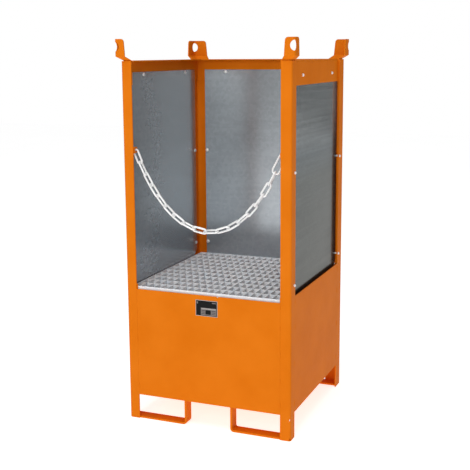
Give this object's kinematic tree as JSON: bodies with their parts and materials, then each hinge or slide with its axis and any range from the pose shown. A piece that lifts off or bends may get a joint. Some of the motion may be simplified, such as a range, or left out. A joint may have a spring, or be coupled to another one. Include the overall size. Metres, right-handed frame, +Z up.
{
  "type": "drum spill containment station",
  "caption": "Stackable steel drum station: sump tank on fork loops, grating, sheet walls on three sides and a safety chain across the open front.",
  "frame": {"origin": "on the floor under the middle of the station", "axes": "+Z up, +Y towards the rear wall, the open front with its chain towards -Y"},
  "size_m": [0.766, 0.77, 1.608],
  "materials": {
    "orange_paint": "satin",
    "galvanised_sheet": "satin",
    "galvanised_grating": "satin",
    "bright_zinc": "gloss",
    "label": "satin"
  },
  "bodies": {
    "frame": {"post_front_left": "orange_paint", "post_front_right": "orange_paint", "post_rear_left": "orange_paint", "post_rear_right": "orange_paint", "stacking_lug_front_left": "orange_paint", "stacking_lug_front_right": "orange_paint", "stacking_lug_rear_left": "orange_paint", "stacking_lug_rear_right": "orange_paint", "fork_loop_front_left": "orange_paint", "fork_loop_front_right": "orange_paint", "fork_loop_rear_left": "orange_paint", "fork_loop_rear_right": "orange_paint", "sump_tank": "orange_paint", "rail_left": "orange_paint", "rail_right": "orange_paint", "rail_rear": "orange_paint", "wall_panel_left": "galvanised_sheet", "wall_panel_right": "galvanised_sheet", "wall_panel_rear": "galvanised_sheet", "bolt_left_lower_a": "bright_zinc", "bolt_left_middle_a": "bright_zinc", "bolt_left_top_a": "bright_zinc", "bolt_left_lower_b": "bright_zinc", "bolt_left_middle_b": "bright_zinc", "bolt_left_top_b": "bright_zinc", "bolt_right_lower_a": "bright_zinc", "bolt_right_middle_a": "bright_zinc", "bolt_right_top_a": "bright_zinc", "bolt_right_lower_b": "bright_zinc", "bolt_right_middle_b": "bright_zinc", "bolt_right_top_b": "bright_zinc", "bolt_rear_lower_a": "bright_zinc", "bolt_rear_middle_a": "bright_zinc", "bolt_rear_top_a": "bright_zinc", "bolt_rear_lower_b": "bright_zinc", "bolt_rear_middle_b": "bright_zinc", "bolt_rear_top_b": "bright_zinc", "chain_eye_right": "orange_paint", "chain_eye_left": "orange_paint", "label_plate": "label"},
    "grating": {"grating": "galvanised_grating"},
    "chain": {"chain_link_01": "bright_zinc", "chain_link_02": "bright_zinc", "chain_link_03": "bright_zinc", "chain_link_04": "bright_zinc", "chain_link_05": "bright_zinc", "chain_link_06": "bright_zinc", "chain_link_07": "bright_zinc", "chain_link_08": "bright_zinc", "chain_link_09": "bright_zinc", "chain_link_10": "bright_zinc", "chain_link_11": "bright_zinc", "chain_link_12": "bright_zinc", "chain_link_13": "bright_zinc", "chain_link_14": "bright_zinc", "chain_link_15": "bright_zinc", "chain_link_16": "bright_zinc", "chain_link_17": "bright_zinc", "snap_hook": "bright_zinc"},
    "gate": {"snap_hook_gate": "bright_zinc"}
  },
  "joints": [
    {"name": "grating_tilt", "type": "hinge", "parent": "frame", "child": "grating", "pos_m": [0, 0.3485, 0.585], "axis": [-1, 0, 0], "range_deg": [0, 75]},
    {"name": "chain_swing", "type": "hinge", "parent": "frame", "child": "chain", "pos_m": [0, -0.345, 1.1595], "axis": [1, 0, 0], "range_deg": [-10, 55]},
    {"name": "gate_swing", "type": "hinge", "parent": "chain", "child": "gate", "pos_m": [0.31136, -0.345, 1.09969], "axis": [0, 1, 0], "range_deg": [-10, 0], "stiffness_Nm_per_rad": 0.05}
  ]
}
